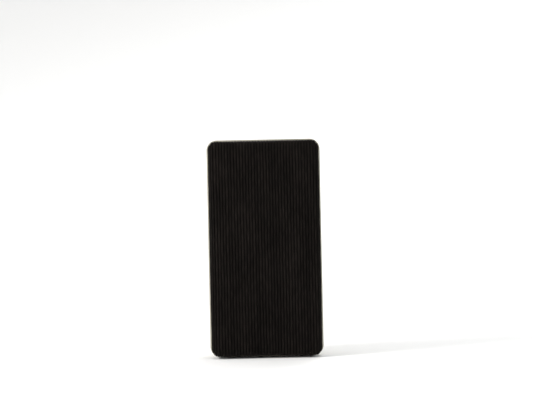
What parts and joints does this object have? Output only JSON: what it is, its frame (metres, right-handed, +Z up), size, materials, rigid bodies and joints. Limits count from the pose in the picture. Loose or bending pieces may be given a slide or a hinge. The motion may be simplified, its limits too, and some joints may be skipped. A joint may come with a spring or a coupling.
{
  "type": "chalkboard eraser",
  "caption": "Rectangular hand eraser: a padded fine-rib corduroy face on a moulded plastic back with waisted grip sides and magnet strips that hold it on a steel board.",
  "frame": {"origin": "middle of the object's box, on the plane of the short end that it stands on", "axes": "+X across the width, +Y from the cloth face to the magnets, +Z up along the length"},
  "size_m": [0.055, 0.03, 0.105],
  "materials": {
    "corduroy": "matte",
    "foam": "matte",
    "adhesive": "satin",
    "board": "matte",
    "hot_melt": "gloss",
    "housing": "satin",
    "tape": "matte",
    "magnet": "matte"
  },
  "bodies": {
    "root": {"corduroy_cover": "corduroy", "foam_pad": "foam", "foam_adhesive": "adhesive", "backing_board": "board", "rim_adhesive": "adhesive", "glue_bead_1": "hot_melt", "glue_bead_2": "hot_melt", "glue_bead_3": "hot_melt", "glue_bead_4": "hot_melt", "glue_bead_5": "hot_melt", "glue_bead_6": "hot_melt", "housing": "housing", "upper_magnet_tape": "tape", "lower_magnet_tape": "tape", "upper_magnet": "magnet", "lower_magnet": "magnet"}
  },
  "joints": []
}
